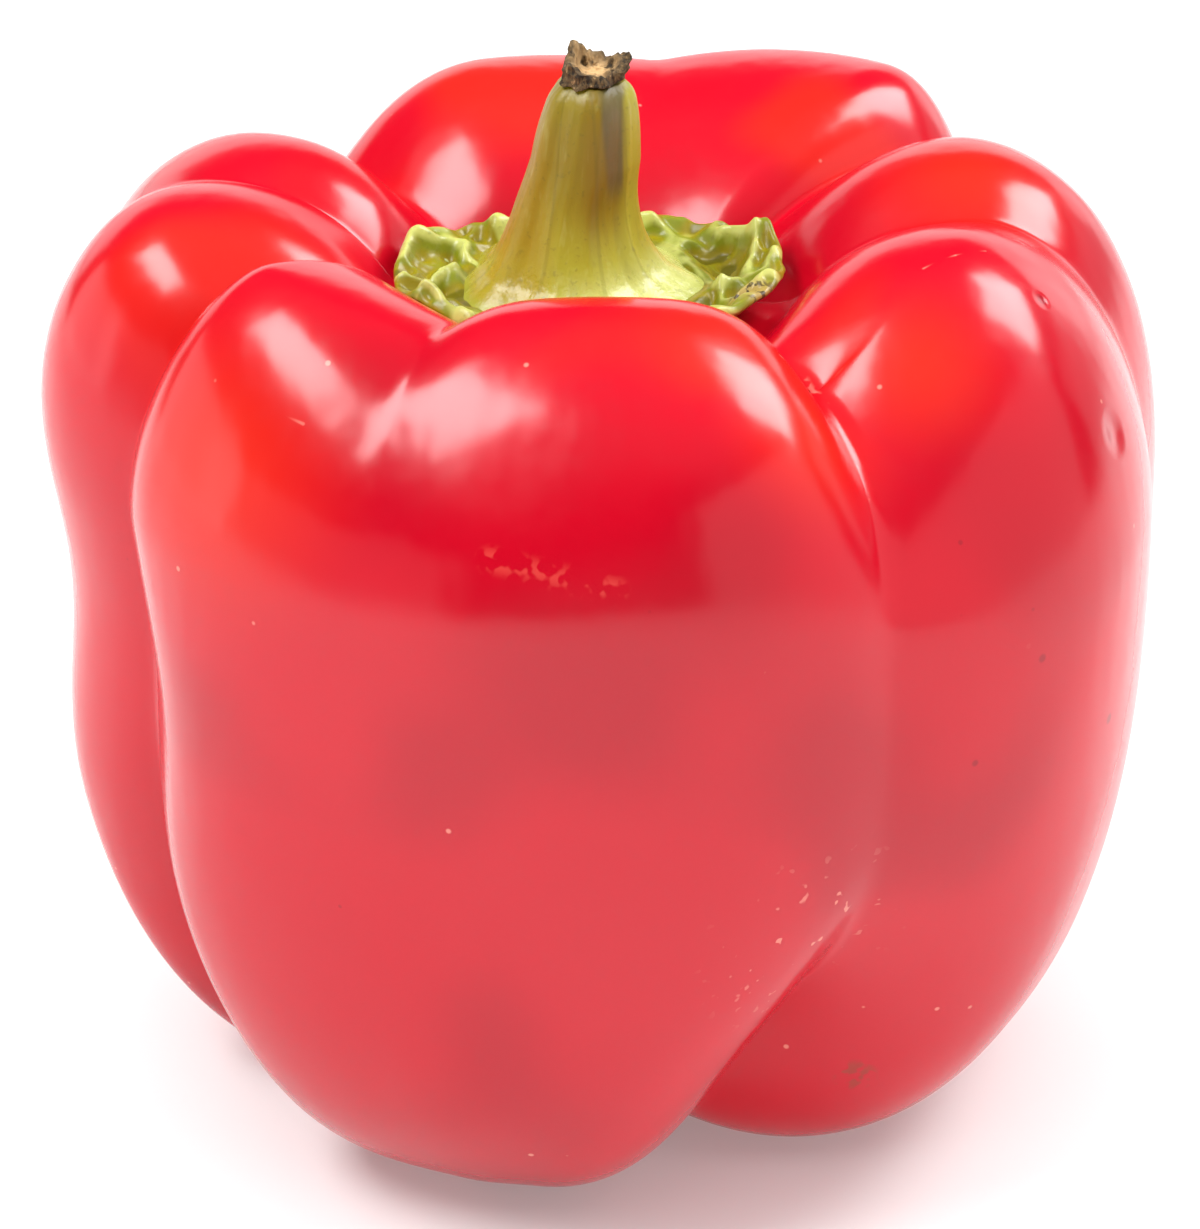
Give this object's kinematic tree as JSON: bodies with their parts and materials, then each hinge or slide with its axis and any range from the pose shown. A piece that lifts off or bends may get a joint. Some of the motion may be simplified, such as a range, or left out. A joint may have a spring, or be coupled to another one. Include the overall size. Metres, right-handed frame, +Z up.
{
  "type": "bell pepper",
  "caption": "Blocky red bell pepper with doubled lobes, a quilted green calyx in its sunken top and a flared stem with a torn end.",
  "frame": {"origin": "on the surface the pepper stands on, under the middle of its outline seen from above", "axes": "+Z up along the stem, -Y towards the broad front lobe, +X towards the right lobe"},
  "size_m": [0.094, 0.0885, 0.0941],
  "materials": {
    "skin": "waxy glossy red skin",
    "calyx_green": "satin quilted green",
    "stem_green": "satin yellow green with fine ribs",
    "torn_brown": "dry corky brown"
  },
  "bodies": {
    "root": {"fruit": "skin", "calyx": "calyx_green", "stem": "stem_green", "stem_end": "torn_brown"}
  },
  "joints": []
}
